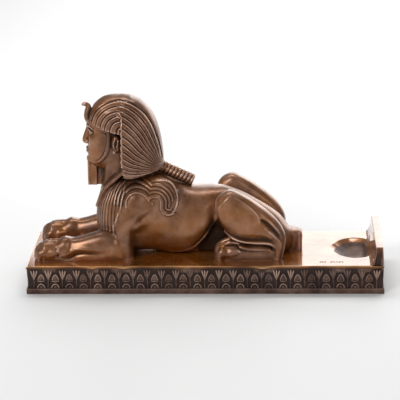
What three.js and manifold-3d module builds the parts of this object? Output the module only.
// A recumbent bronze sphinx on a long plinth with a low end wall, a hollow and a carved frieze.
// Millimetres, +Z up. The origin is at the middle of the plinth's underside, the sphinx's head
// points along -X, and its left side faces -Y. Heights in the tables of the figure are measured
// from the plinth's top, and the figure is lifted onto it at the end.

import * as THREE from 'three';
import { ParametricGeometry } from 'three/addons/geometries/ParametricGeometry.js';
import { mergeVertices } from 'three/addons/utils/BufferGeometryUtils.js';
import Module from 'manifold-3d';

const wasm = await Module();
wasm.setup();

// ---------------------------------------------------------------- driving dimensions

const PLINTH = { length: 300, width: 100, height: 24.5 };
const BAND = { height: 4.7, recess: 1.6 };          // plain band along the foot of the sides
const LIP = { height: 2.2, step: 0.3 };             // rim along the top of the sides
const WALL = { height: 16, far: 14.2, thick: 6.9, foot: 12, flare: 9, lean: 0.8, round: 1.4 };
const HOLLOW = { x: 127, back: 141.5, shift: 1, depth: 8.5, lift: 7 };
const HOLLOW_EDGE = [[0, 22], [50, 33], [90, 28.5], [130, 25.5], [180, 21.8]];    // angle, reach
const FRIEZE = { inset: 6.5, long: 25, short: 8, relief: 1.2, grip: 0.8 };
const WRITING = { x: 96.5, y: -40.5, pitch: 2.3, wide: 0.8, tall: 3.4, deep: 0.35, gap: 4, groups: [3, 5] };

const FORELEG_SIDE = 28;                            // mid-line of each foreleg from the middle
const HAUNCH_SIDE = 27.5;
const HINDFOOT_SIDE = 27;

// Tables of rings along X: place, top, bottom, half width.
const TRUNK = [
  [-92.4, 33, 33, 0],
  [-88, 53, 12, 17],
  [-80, 62, 6, 24.5],
  [-66, 68.4, 2, 28],
  [-50, 71, 2, 28.6],
  [-40, 69, 0, 28.6],
  [-26, 61, -2.5, 28.4],
  [-13, 57.2, -0.5, 27.4],
  [-2, 56.3, 8.5, 25],
  [8, 55.8, 25, 21],
  [16, 54.2, 24, 20.5],
  [30, 48.8, 10, 20],
  [48, 37.6, 2, 20],
  [62, 28.2, -1, 18],
  [71, 19.5, 0, 12],
  [75, 10, 10, 0],
];
const FORELEG = [
  [-144, 6, 6, 0],
  [-140, 14, -4, 9.5],
  [-135, 17.8, -5, 11],
  [-127, 16.2, -5, 9.6],
  [-118, 19.4, -5, 9.4],
  [-108, 19.4, -5, 9.4],
  [-97, 22, -5, 10],
  [-86, 24.6, -5, 10.5],
  [-77, 21, -4, 10],
  [-73, 9, 9, 0],
];
const HAUNCH = [
  [8.8, 48, 48, 0],
  [11, 53.5, 38, 6.5],
  [16, 57, 28.5, 8.6],
  [22.5, 59.4, 22, 10],
  [29, 56.4, 18.3, 10.8],
  [38, 51, 16.2, 11],
  [48, 45, 14.2, 11],
  [57, 39, 10, 10.6],
  [65, 32, 5, 9.6],
  [70, 22, 8, 6],
  [71.5, 15, 15, 0],
];
const HINDFOOT = [
  [10, 5, 5, 0],
  [14, 11.5, -4, 8.5],
  [24, 13.6, -5, 9],
  [34, 12, -5, 8],
  [50, 10.6, -5, 7.2],
  [62, 11, -5, 7],
  [67.5, 4, 4, 0],
];
const TOE = { across: 5.3, wide: 3.2, splay: 1.2 };
const FORE_TOES = { x: -138.6, long: 7.6, tall: 12.4, z: 4.6 };
const HIND_TOES = { x: 13.6, long: 7, tall: 9.6, z: 3.4 };

// Paths as places with half sizes: x, side, z, in the plane of the path, across it.
const UPPER_ARM = [
  [-58, 25.5, 50, 11, 9],
  [-62, 26.5, 40, 12, 9.8],
  [-68.2, 28.5, 29, 8.8, 8.8],
  [-69.3, 28.5, 17, 7.6, 8.4],
  [-67.2, 28, 6, 6.2, 7.6],
  [-67.2, 28, -8, 6, 7.4],
];
const SHOULDER = { x: -57, side: 25.6, z: 46.4, long: 14.2, wide: 10.6, tall: 12.6 };
const SHANK = [
  [46, 35.2, 30, 2.4, 2.4],
  [60, 35.4, 20.6, 2.6, 2.6],
  [64.6, 33.5, 10, 2.6, 2.6],
  [63, 32.5, 1, 2.4, 2.4],
];
const TAIL = [
  [64, -1, 9.6, 8.4, 8.4],
  [73, -1, 9.6, 8.8, 8.8],
  [76, 8, 8.4, 8, 8],
  [73.5, 22, 6.6, 6.4, 6.4],
  [63, 34, 5.4, 5.4, 5.4],
  [48, 40.5, 4.8, 4.8, 4.8],
  [36, 42.5, 4.4, 4.6, 4.6],
];
const LAPPET = [
  [-67, 21.5, 76, 1.6, 7.5],
  [-76, 17.5, 67, 1.8, 7],
  [-83, 14.5, 58.6, 1.8, 6.4],
  [-87.8, 13, 50.4, 1.8, 6],
  [-90.8, 12.4, 42.8, 1.9, 5.8],
];
const SERPENT = [
  [-95.5, 0, 112, 1.7, 2],
  [-100.6, 0, 114.8, 1.9, 2.2],
  [-100.6, 0, 118.6, 2, 2.6],
  [-98.8, 0, 123, 1.9, 3],
  [-98.9, 0, 126.8, 1.5, 2],
  [-101.6, 0, 128.6, 1.0, 1.4],
];

// Shoulder scroll: arcs one after another, as centre x, centre z, radius, first and last angle.
const SCROLL_ARCS = [
  [-56.8, 50.2, 8.9, 190, 28],
  [-42.2, 49.4, 5.4, 150, 8],
  [-29.6, 45.4, 7.2, 180, 385],
];
const SCROLL = { size: 1.5, sink: 0.9 };

// Headdress: the side view is a fan about the knot where the cloth is tied behind the neck.
const KNOT = { x: -36, z: 74 };
const NEMES = { front: -68, stripes: 14, ridge: 0.7, topEnd: 71.5 };
const NEMES_OUTLINE = [                              // distance from the knot, angle over -X
  [0, 97], [16, 90], [28, 86], [39.7, 82.3], [49.9, 78], [60, 71.4], [66.6, 65.2], [71.5, 59.4],
];
const NEMES_HEM = [
  [0, -4], [10, -8.7], [18.7, -11], [24.6, -10.5], [34, -5], [40, -3],
];
const NEMES_WIDTH = [                                // height, half width at the wings' front
  [66, 29], [74, 30], [81, 29.6], [90, 28.6], [100, 27], [110, 25], [118, 22.6], [126, 18.6],
  [132, 13], [137, 6],
];
const CAP = { x: -71.5, z: 107, long: 26.2, wide: 20, tall: 28.5, stripes: 5, ridge: 0.5 };
const BROW_BAND = { x: -83, z: 111.8, long: 17.8, wide: 16.6, tall: 3, tilt: 6 };

// Face: rings by height, as height, front, half width. The features share out brow to chin.
const FACE = [
  [74.5, -90, 6],
  [77, -97, 8.6],
  [80, -99.2, 10.2],
  [85, -99.6, 12],
  [91, -99.2, 13.6],
  [97, -99.4, 14.8],
  [104, -99.4, 15.2],
  [111, -100.2, 15.2],
  [118, -98, 15],
  [123, -93, 13],
];
const HEAD = { back: -56, brow: 110, chin: 78 };
const EAR = { x: -74, z: 96.7, side: 16.4, long: 3.4, wide: 2.8, tall: 7.6 };
const BEARD = { front: -100, back: -91.8, web: -84, foot: 57.9, top: 80, halfWidth: 4.4, webHalf: 2.4 };
const NECK = { x: -74.5, top: 92, foot: 52, topSize: 11, footSize: 15 };
const PIGTAIL = { start: [-40, 0, 75], end: [-11.2, 0, 61.2], radius: 4.4, taper: 0.5, rings: 10, groove: 0.75 };
const MANE = { ribs: 6, ridge: 1.1, from: 0.17, to: 0.6, back: -60, foot: 14, top: 67 };
const MANE_RINGS = [                                 // height, front, half width
  [14, -89.6, 23], [22, -92, 27.4], [30, -93, 28.8], [38, -92.4, 29.4], [48, -90.4, 29.2],
  [57, -86, 26.4], [63, -80.5, 22], [67, -74, 16],
];

const BRONZE = { color: 0x6b3c16, roughness: 0.34, metalness: 0.9 };
const DARK_BRONZE = { color: 0x4a3a30, roughness: 0.5, metalness: 0.85 };

// ---------------------------------------------------------------- curves and skins

// Value of one column of a table at a place, by cubic pieces that never overshoot their rows.
function column(rows, index, place) {
  const last = rows.length - 1;
  let i = 0;
  while (i < last - 1 && rows[i + 1][0] <= place) i += 1;
  const slope = (k) => (rows[k + 1][index] - rows[k][index]) / (rows[k + 1][0] - rows[k][0]);
  const tangent = (k) => {
    if (k === 0) return slope(0);
    if (k === last) return slope(last - 1);
    const before = slope(k - 1);
    const after = slope(k);
    return before * after <= 0 ? 0 : (2 * before * after) / (before + after);
  };
  const span = rows[i + 1][0] - rows[i][0];
  const t = THREE.MathUtils.clamp((place - rows[i][0]) / span, 0, 1);
  const a = rows[i][index];
  const b = rows[i + 1][index];
  const t2 = t * t;
  const t3 = t2 * t;
  return a * (2 * t3 - 3 * t2 + 1) + b * (3 * t2 - 2 * t3)
    + span * (tangent(i) * (t3 - 2 * t2 + t) + tangent(i + 1) * (t3 - t2));
}

// A closed skin whose loops run in u and whose first and last loops shrink to points.
function closedSkin(pointAt, around, along) {
  const surface = (u, v, target) => target.copy(pointAt(u >= 1 ? 0 : u, v));
  return solid(new ParametricGeometry(surface, around, along));
}

// Power that keeps its sign, for rings between an ellipse and a rectangle.
function signedPower(value, power) {
  return Math.sign(value) * Math.abs(value) ** power;
}

// A rounded body through rings along X. Squared sizes are blended, so both ends come out round.
function bodySkin(rows, { around = 16, along = 12, square = 2.2, side = 0 } = {}) {
  const squared = rows.map(([x, top, bottom, half]) => [x, ((top - bottom) / 2) ** 2, half ** 2]);
  const middle = rows.map(([x, top, bottom]) => [x, (top + bottom) / 2]);
  const first = rows[0][0];
  const length = rows[rows.length - 1][0] - first;
  return closedSkin((u, v) => {
    const x = first + length * (0.5 * v + 0.25 * (1 - Math.cos(Math.PI * v)));
    const tall = Math.sqrt(Math.max(column(squared, 1, x), 0));
    const wide = Math.sqrt(Math.max(column(squared, 2, x), 0));
    const angle = u * 2 * Math.PI;
    return new THREE.Vector3(
      x,
      side + wide * signedPower(Math.cos(angle), 2 / square),
      column(middle, 1, x) + tall * signedPower(Math.sin(angle), 2 / square),
    );
  }, around, along);
}

// A limb along a smooth path of [x, side, z, half size in its plane, half size across], with
// round ends. side is -1 or 1 for the body's left or right.
function limbSkin(rows, side, { around = 10, along = 10, square = 2, blunt = 8 } = {}) {
  const path = new THREE.CatmullRomCurve3(rows.map(([x, y, z]) => new THREE.Vector3(x, side * y, z)));
  const sizes = rows.map((row, i) => [i / (rows.length - 1), row[3], row[4]]);
  return closedSkin((u, v) => {
    const centre = path.getPoint(v);
    const forward = path.getTangent(v);
    const level = new THREE.Vector3(-forward.z, 0, forward.x);
    if (level.length() < 0.3) level.set(0, 0, 1);
    const up = level.addScaledVector(forward, -level.dot(forward)).normalize();
    const across = new THREE.Vector3().crossVectors(up, forward);
    const round = Math.sqrt(1 - (2 * v - 1) ** blunt);
    const angle = u * 2 * Math.PI;
    return centre
      .addScaledVector(up, column(sizes, 1, v) * round * signedPower(Math.cos(angle), 2 / square))
      .addScaledVector(across, column(sizes, 2, v) * round * signedPower(Math.sin(angle), 2 / square));
  }, around, along);
}

// An ellipsoid, with its poles above and below.
function ball([x, y, z], [long, wide, tall], around = 6, rings = 4) {
  const geometry = new THREE.SphereGeometry(1, around, rings).rotateX(Math.PI / 2);
  return solid(geometry.scale(long, wide, tall).translate(x, y, z));
}

function block([x0, y0, z0], [x1, y1, z1]) {
  const geometry = new THREE.BoxGeometry(x1 - x0, y1 - y0, z1 - z0);
  return solid(geometry.translate((x0 + x1) / 2, (y0 + y1) / 2, (z0 + z1) / 2));
}

// ---------------------------------------------------------------- solids

// Closed manifold body of a geometry, with doubled vertices merged and its faces pointing out.
function solid(geometry) {
  const bare = new THREE.BufferGeometry();
  bare.setAttribute('position', geometry.getAttribute('position'));
  if (geometry.index) bare.setIndex(geometry.index);
  const merged = mergeVertices(bare, 1e-3);
  const points = merged.getAttribute('position').array;
  const index = merged.index.array;
  const kept = [];
  let volume = 0;
  const corner = (i) => new THREE.Vector3().fromArray(points, 3 * i);
  for (let i = 0; i < index.length; i += 3) {
    const [a, b, c] = [index[i], index[i + 1], index[i + 2]];
    if (a === b || b === c || c === a) continue;
    kept.push(a, b, c);
    volume += corner(a).dot(corner(b).cross(corner(c)));
  }
  if (volume < 0) kept.reverse();
  return new wasm.Manifold(new wasm.Mesh({
    numProp: 3,
    vertProperties: new Float32Array(points),
    triVerts: new Uint32Array(kept),
  }));
}

function joined(solids) {
  return solids.reduce((whole, next) => whole.add(next));
}

// The same thing made for both sides: make(side) is called with -1 and with 1.
function bothSides(make) {
  return joined([make(-1), make(1)]);
}

function meshFrom(name, body, look) {
  const { vertProperties, triVerts } = body.getMesh();
  const geometry = new THREE.BufferGeometry();
  geometry.setAttribute('position', new THREE.BufferAttribute(new Float32Array(vertProperties), 3));
  geometry.setIndex(new THREE.BufferAttribute(new Uint32Array(triVerts), 1));
  geometry.computeVertexNormals();
  const mesh = new THREE.Mesh(geometry, new THREE.MeshStandardMaterial(look));
  mesh.name = name;
  return mesh;
}

// ---------------------------------------------------------------- body and limbs

function toes(at, side, middle) {
  const spots = [-1.5, -0.5, 0.5, 1.5];
  return joined(spots.map((spot) => {
    const back = Math.abs(spot) * TOE.splay;
    return ball([at.x + back, side * (middle + spot * TOE.across), at.z], [at.long, TOE.wide, at.tall]);
  }));
}

function foreleg(side) {
  const limb = bodySkin(FORELEG, { around: 9, along: 11, square: 2.6, side: side * FORELEG_SIDE });
  return limb.add(toes(FORE_TOES, side, FORELEG_SIDE));
}

function shoulder(side) {
  const { x, z, long, wide, tall } = SHOULDER;
  const mass = ball([x, side * SHOULDER.side, z], [long, wide, tall], 10, 7);
  return mass.add(limbSkin(UPPER_ARM, side, { around: 9, along: 7 }));
}

function haunch(side) {
  const mass = bodySkin(HAUNCH, { around: 12, along: 11, square: 2.3, side: side * HAUNCH_SIDE });
  return mass.add(limbSkin(SHANK, side, { around: 5, along: 6 }));
}

function hindfoot(side) {
  const limb = bodySkin(HINDFOOT, { around: 9, along: 7, square: 2.6, side: side * HINDFOOT_SIDE });
  return limb.add(toes(HIND_TOES, side, HINDFOOT_SIDE - 1));
}

// How far out the trunk's side lies at a place in the side view.
function flank(x, z) {
  const tall = (column(TRUNK, 1, x) - column(TRUNK, 2, x)) / 2;
  const middle = (column(TRUNK, 1, x) + column(TRUNK, 2, x)) / 2;
  const share = Math.min(Math.abs(z - middle) / tall, 0.98);
  return column(TRUNK, 3, x) * (1 - share ** 2.3) ** (1 / 2.3);
}

// How far out the shoulder lies there.
function shoulderSide(x, z) {
  const share = Math.hypot((x - SHOULDER.x) / SHOULDER.long, (z - SHOULDER.z) / SHOULDER.tall);
  return share < 1 ? SHOULDER.side + SHOULDER.wide * Math.sqrt(1 - share ** 2) : 0;
}

// Raised cord of the shoulder scroll: two arches and a drop, laid on the body's side.
function scroll(side) {
  const rows = [];
  SCROLL_ARCS.forEach(([x, z, radius, first, last]) => {
    const count = Math.round(Math.abs(last - first) / 34);
    for (let i = 0; i <= count; i += 1) {
      const angle = THREE.MathUtils.degToRad(first + ((last - first) * i) / count);
      const place = [x + radius * Math.cos(angle), z + radius * Math.sin(angle)];
      const out = Math.max(flank(...place), shoulderSide(...place)) - SCROLL.sink;
      rows.push([place[0], out, place[1], SCROLL.size, SCROLL.size]);
    }
  });
  return limbSkin(rows, side, { around: 4, along: 18 });
}

// The mane hangs as ribs down the chest and its sides. Its columns stand on ridges and grooves.
function mane() {
  const { ribs, ridge, from, to, back, foot, top } = MANE;
  const columns = [{ turn: 0, sunk: 0 }, { turn: from / 2, sunk: 0 }];
  for (let i = 0; i <= 2 * ribs; i += 1) {
    columns.push({ turn: from + ((to - from) * i) / (2 * ribs), sunk: i % 2 ? ridge : 0 });
  }
  columns.push({ turn: 0.8, sunk: 0 }, { turn: 1, sunk: 0 });
  const mirrored = columns.slice(1, -1).reverse().map(({ turn, sunk }) => ({ turn: -turn, sunk }));
  const loop = [...columns, ...mirrored];
  return closedSkin((u, v) => {
    const z = THREE.MathUtils.lerp(foot, top, THREE.MathUtils.clamp((v - 0.1) / 0.8, 0, 1));
    const front = column(MANE_RINGS, 1, z);
    if (v === 0 || v === 1) return new THREE.Vector3((front + back) / 2, 0, z);
    const { turn, sunk } = loop[Math.round(u * loop.length) % loop.length];
    const angle = turn * Math.PI;
    const reach = (back - front) / 2 - sunk / 2;
    const half = column(MANE_RINGS, 2, z) - sunk;
    return new THREE.Vector3(
      (back + front) / 2 - reach * signedPower(Math.cos(angle), 0.8),
      half * signedPower(Math.sin(angle), 0.8),
      z,
    );
  }, loop.length, 6);
}

// ---------------------------------------------------------------- head and headdress

// Height of a share of the way from the brow down to the chin.
function faceHeight(share) {
  return HEAD.brow - share * (HEAD.brow - HEAD.chin);
}

// How far the face stands out or lies back at a place, as soft rounded swellings.
function faceRelief(y, z) {
  const swell = (side, share, acrossSize, upSize, amount) => amount
    * Math.exp(-(((Math.abs(y) - side) / acrossSize) ** 2) - (((z - faceHeight(share)) / upSize) ** 2));
  const tip = faceHeight(0.45);
  const down = THREE.MathUtils.clamp((HEAD.brow - z) / (HEAD.brow - tip), 0, 1);
  const underNose = z < tip ? Math.exp(-(((z - tip) / 1.2) ** 2)) : 1;
  const nose = (0.6 + 4.6 * down) * Math.exp(-((y / 2.2) ** 2)) * underNose;
  return (z < HEAD.brow ? nose : 0)
    + swell(6, -0.02, 6, 1.8, 0.9)
    + swell(6, 0.13, 3.8, 2.6, -1.8)
    + swell(6, 0.13, 2.6, 1.5, 1.4)
    + swell(2.4, 0.47, 1.5, 1.5, 1.2)
    + swell(8, 0.38, 4.5, 5, 0.5)
    + swell(0, 0.62, 4.4, 1.3, 1.6)
    + swell(0, 0.74, 3.6, 1.3, 1.4)
    + swell(0, 0.95, 4.4, 2.6, 1.0);
}

function face() {
  const low = FACE[0][0];
  const high = FACE[FACE.length - 1][0];
  return closedSkin((u, v) => {
    const z = THREE.MathUtils.lerp(low, high, THREE.MathUtils.clamp((v - 0.04) / 0.92, 0, 1));
    const front = column(FACE, 1, z);
    if (v === 0 || v === 1) return new THREE.Vector3((HEAD.back + front) / 2, 0, z);
    const turn = (u - 0.5) * 2;
    const angle = Math.PI * (0.55 * turn + 0.45 * turn ** 5);
    const y = column(FACE, 2, z) * signedPower(Math.sin(angle), 0.9);
    const relief = Math.abs(angle) < 1.4 ? faceRelief(y, z) : 0;
    const middle = (HEAD.back + front) / 2;
    return new THREE.Vector3(middle - (middle - front) * signedPower(Math.cos(angle), 0.9) - relief, y, z);
  }, 18, 16);
}

function ear(side) {
  const shell = ball([EAR.x, side * EAR.side, EAR.z], [EAR.long, EAR.wide, EAR.tall], 8, 6);
  const hole = [EAR.long * 0.5, EAR.wide * 0.7, EAR.tall * 0.6];
  return shell.subtract(ball([EAR.x, side * (EAR.side + EAR.wide), EAR.z + 0.6], hole, 6, 4));
}

// Two columns to a stripe, its groove and its ridge, with a ridge last.
function stripePlaces(stripes) {
  const places = [];
  for (let i = 0; i < 2 * stripes; i += 1) places.push({ at: i / (2 * stripes - 1), raised: i % 2 });
  return places;
}

// Angle of the fan, over -X at the knot, of a stripe place at a distance from the knot.
function fanAngle(at, reach) {
  const low = column(NEMES_HEM, 1, reach);
  return THREE.MathUtils.degToRad(low + at * (column(NEMES_OUTLINE, 1, reach) - low));
}

// The headdress's back edge at a height.
function backEdge(z) {
  let reach = 0;
  while (reach < NEMES.topEnd && KNOT.z + reach * Math.sin(fanAngle(1, reach)) < z) reach += 1;
  return KNOT.x - reach * Math.cos(fanAngle(1, reach));
}

// The cloth behind the ears: stripes fan from the wings' front edge back to the knot.
function nemesWings() {
  const half = stripePlaces(NEMES.stripes);
  const loop = half.map((place) => ({ ...place, side: -1 }));
  for (let i = half.length - 2; i >= 0; i -= 1) loop.push({ ...half[i], side: 1 });
  const steps = 5;
  return closedSkin((u, v) => {
    const place = loop[Math.round(u * loop.length) % loop.length];
    if (v === 1) return new THREE.Vector3(NEMES.front, 0, 100);
    if (v === 0) return new THREE.Vector3(KNOT.x, 0, KNOT.z);
    const share = (v * (steps + 1)) / steps;
    let limit = 30;
    while (limit < NEMES.topEnd && KNOT.x - limit * Math.cos(fanAngle(place.at, limit)) > NEMES.front) {
      limit += 0.25;
    }
    const reach = share * limit;
    const angle = fanAngle(place.at, reach);
    const x = Math.max(KNOT.x - reach * Math.cos(angle), NEMES.front);
    const z = KNOT.z + reach * Math.sin(angle);
    const run = THREE.MathUtils.clamp((x - NEMES.front) / (backEdge(z) - NEMES.front), 0, 1);
    const across = column(NEMES_WIDTH, 1, z) * (1 - run ** 2.2) ** (1 / 2.2);
    const width = place.at >= 1 ? 0 : Math.max(across, 6 * (1 - place.at) * share);
    const out = new THREE.Vector3((x + 62) / 900, (place.side * width) / 700, (z - 95) / 1200).normalize();
    const lift = NEMES.ridge * (place.raised * Math.min(1, share * 2) - 0.5);
    return new THREE.Vector3(x, place.side * width, z).addScaledVector(out, lift);
  }, loop.length, steps + 1);
}

// The cap over the skull: stripes run from front to back, so they nest as arches from the side.
function nemesCap() {
  const half = stripePlaces(CAP.stripes);
  const rows = [];
  for (let i = half.length - 1; i > 0; i -= 1) rows.push({ ...half[i], side: -1 });
  rows.push({ at: 0, raised: 1, side: 1 });
  for (let i = 1; i < half.length; i += 1) rows.push({ ...half[i], side: 1 });
  const whole = closedSkin((u, v) => {
    const row = rows[Math.round(v * (rows.length - 1))];
    const angle = u * 2 * Math.PI;
    const bend = (row.at * Math.PI) / 2;
    const size = Math.cos(bend) ** 0.85;
    const lift = CAP.ridge * row.raised;
    return new THREE.Vector3(
      CAP.x + (CAP.long + lift) * size * Math.cos(angle),
      row.side * (CAP.wide + lift) * Math.sin(bend),
      CAP.z + (CAP.tall + lift) * size * Math.sin(angle),
    );
  }, 16, rows.length - 1);
  return whole.intersect(block([-110, -40, BROW_BAND.z - 1], [-50, 40, 150]));
}

function browBand() {
  const { x, z, long, wide, tall, tilt } = BROW_BAND;
  const geometry = new THREE.CylinderGeometry(1, 1, tall, 20).rotateX(Math.PI / 2).scale(long, wide, 1);
  return solid(geometry.rotateY(THREE.MathUtils.degToRad(tilt)).translate(x, 0, z));
}

function beard() {
  const { front, back, web, foot, top, halfWidth, webHalf } = BEARD;
  const tuft = block([front, -halfWidth, foot], [back, halfWidth, top]);
  const strip = block([back - 1, -webHalf, foot], [web + 2, webHalf, top]);
  return tuft.add(strip);
}

// Ribbed pigtail: a lathe turned along its own axis, then laid down the back.
function pigtail() {
  const { start, end, radius, taper, rings, groove } = PIGTAIL;
  const from = new THREE.Vector3(...start);
  const along = new THREE.Vector3(...end).sub(from);
  const pitch = along.length() / rings;
  const profile = [new THREE.Vector2(0, 0)];
  for (let i = 0; i < rings; i += 1) {
    const size = radius - taper * (i / rings);
    profile.push(new THREE.Vector2(size - groove, i * pitch));
    profile.push(new THREE.Vector2(size, (i + 0.5) * pitch));
  }
  profile.push(new THREE.Vector2(radius / 2, rings * pitch));
  profile.push(new THREE.Vector2(0, rings * pitch));
  const lean = new THREE.Quaternion().setFromUnitVectors(new THREE.Vector3(0, 1, 0), along.normalize());
  return solid(new THREE.LatheGeometry(profile, 8).applyQuaternion(lean).translate(...start));
}

function neck() {
  const { x, top, foot, topSize, footSize } = NECK;
  const geometry = new THREE.CylinderGeometry(topSize, footSize, top - foot, 14).rotateX(Math.PI / 2);
  return solid(geometry.translate(x, 0, (top + foot) / 2));
}

// ---------------------------------------------------------------- plinth

function plinthBlock() {
  const { length, width, height } = PLINTH;
  const slab = (inset, low, high) => block(
    [-length / 2 + inset, -width / 2 + inset, low],
    [length / 2 - inset, width / 2 - inset, high],
  );
  return joined([
    slab(0, 0, BAND.height),
    slab(BAND.recess, BAND.height - 1, height - 1),
    slab(LIP.step, height - LIP.height, height),
  ]);
}

// Low wall across the right end: upright outside, swept out at the foot inside.
function endWall() {
  const { height, far, thick, foot, flare, lean, round } = WALL;
  const outer = PLINTH.length / 2 - LIP.step;
  const profile = new THREE.Shape();
  profile.moveTo(outer, -2);
  profile.lineTo(outer - lean, height - round);
  profile.quadraticCurveTo(outer - lean, height, outer - lean - round, height);
  profile.lineTo(outer - thick + 1, height);
  profile.lineTo(outer - thick, height - 1);
  profile.quadraticCurveTo(outer - thick - 0.6, flare * 0.4, outer - foot, 0);
  profile.lineTo(outer - foot, -2);
  const depth = PLINTH.width - 2 * LIP.step;
  const geometry = new THREE.ExtrudeGeometry(profile, { depth, bevelEnabled: false, curveSegments: 5 });
  geometry.rotateX(Math.PI / 2).translate(0, depth / 2, 0);
  const place = geometry.getAttribute('position');
  for (let i = 0; i < place.count; i += 1) {
    const share = place.getY(i) / depth + 0.5;
    const z = place.getZ(i);
    if (z > 0) place.setZ(i, z * THREE.MathUtils.lerp(1, far / height, share));
  }
  return solid(geometry.translate(0, 0, PLINTH.height));
}

// Cutter for the leaf-shaped hollow in the top, closed off square before the wall's foot.
function hollowCutter() {
  const { x, back, shift, depth, lift } = HOLLOW;
  const bowl = closedSkin((u, v) => {
    if (v === 0) return new THREE.Vector3(x, shift, PLINTH.height + lift);
    const turn = Math.abs(u - 0.5) * 360;
    const rim = Math.cos((v - 1 / 6) * 0.6 * Math.PI);
    const reach = column(HOLLOW_EDGE, 1, turn) * (v === 1 ? 0 : rim);
    const angle = u * 2 * Math.PI + Math.PI;
    const drop = v < 0.2 ? -lift : depth * Math.sin((v - 1 / 6) * 0.6 * Math.PI);
    return new THREE.Vector3(x + reach * Math.cos(angle), shift + reach * Math.sin(angle), PLINTH.height - drop);
  }, 20, 6);
  return bowl.intersect(block([0, -60, 0], [back, 60, 60]));
}

// ---------------------------------------------------------------- frieze

function flatShape(points) {
  const outline = new THREE.Shape();
  outline.moveTo(...points[0]);
  points.slice(1).forEach((point) => outline.lineTo(...point));
  return outline;
}

// Stem with an open flower, and between stems a dome with a bud over it, from the middle of the
// foot. The hidden sides have the plainer stem and no buds.
const STEM = flatShape([[-0.8, -0.5], [0.8, -0.5], [0.8, 8], [2.7, 15.6], [-2.7, 15.6], [-0.8, 8]]);
const PLAIN_STEM = flatShape([[-0.9, -0.5], [0.9, -0.5], [2.7, 15.6], [-2.7, 15.6]]);
const DOME = flatShape([[-3.5, -0.5], [3.5, -0.5], [1.8, 4.4], [-1.8, 4.4]]);
const BUD = flatShape([[-2.7, 6.6], [2.7, 6.6], [0, 12.6]]);

// One side's row of carving, made along X facing -Y, then turned into place.
function friezeRow(length, count, halfDepth, turn) {
  const pitch = (length - 2 * FRIEZE.inset) / (count - 1);
  const shown = turn === 0;
  const place = (shape, x) => {
    const geometry = new THREE.ExtrudeGeometry(shape, { depth: FRIEZE.relief + FRIEZE.grip, bevelEnabled: false });
    geometry.rotateX(Math.PI / 2).translate(x, -(halfDepth - BAND.recess - FRIEZE.grip), BAND.height);
    return solid(geometry.rotateZ(turn));
  };
  const pieces = [];
  for (let i = 0; i < count; i += 1) {
    const x = -length / 2 + FRIEZE.inset + i * pitch;
    pieces.push(place(shown ? STEM : PLAIN_STEM, x));
    if (i < count - 1) pieces.push(place(DOME, x + pitch / 2));
    if (i < count - 1 && shown) pieces.push(place(BUD, x + pitch / 2));
  }
  return joined(pieces);
}

function frieze() {
  const { length, width } = PLINTH;
  return joined([0, 1, 2, 3].map((quarter) => (quarter % 2
    ? friezeRow(width, FRIEZE.short, length / 2, (quarter * Math.PI) / 2)
    : friezeRow(length, FRIEZE.long, width / 2, (quarter * Math.PI) / 2))));
}

// Two groups of shallow upright strokes in the top, where such castings are marked.
function strokes() {
  const { x, y, pitch, wide, tall, deep, gap, groups } = WRITING;
  const cuts = [];
  let at = x;
  groups.forEach((count) => {
    for (let i = 0; i < count; i += 1) {
      const rise = i % 2 ? tall * 0.7 : tall;
      cuts.push(block([at, y, PLINTH.height - deep], [at + wide, y + rise, PLINTH.height + 1]));
      at += pitch;
    }
    at += gap - pitch;
  });
  return joined(cuts);
}

// ---------------------------------------------------------------- the two castings

function sphinx() {
  const body = joined([
    bodySkin(TRUNK, { around: 16, along: 15, square: 2.3 }),
    mane(),
    bothSides(foreleg),
    bothSides(shoulder),
    bothSides(scroll),
    bothSides(haunch),
    bothSides(hindfoot),
    limbSkin(TAIL, 1, { around: 7, along: 11 }),
  ]);
  const head = joined([
    neck(),
    face(),
    bothSides(ear),
    nemesWings(),
    nemesCap(),
    browBand(),
    bothSides((side) => limbSkin(LAPPET, side, { around: 8, along: 6, square: 5, blunt: 30 })),
    limbSkin(SERPENT, 1, { around: 6, along: 8 }),
    beard(),
    pigtail(),
  ]);
  const aboveGround = block([-160, -60, 0], [160, 60, 200]);
  return body.add(head).intersect(aboveGround).translate([0, 0, PLINTH.height]);
}

function plinth() {
  return joined([plinthBlock(), endWall(), frieze()]).subtract(hollowCutter()).subtract(strokes());
}

const object = new THREE.Group();
object.add(meshFrom('sphinx', sphinx(), BRONZE));
object.add(meshFrom('plinth', plinth(), DARK_BRONZE));

export default object;
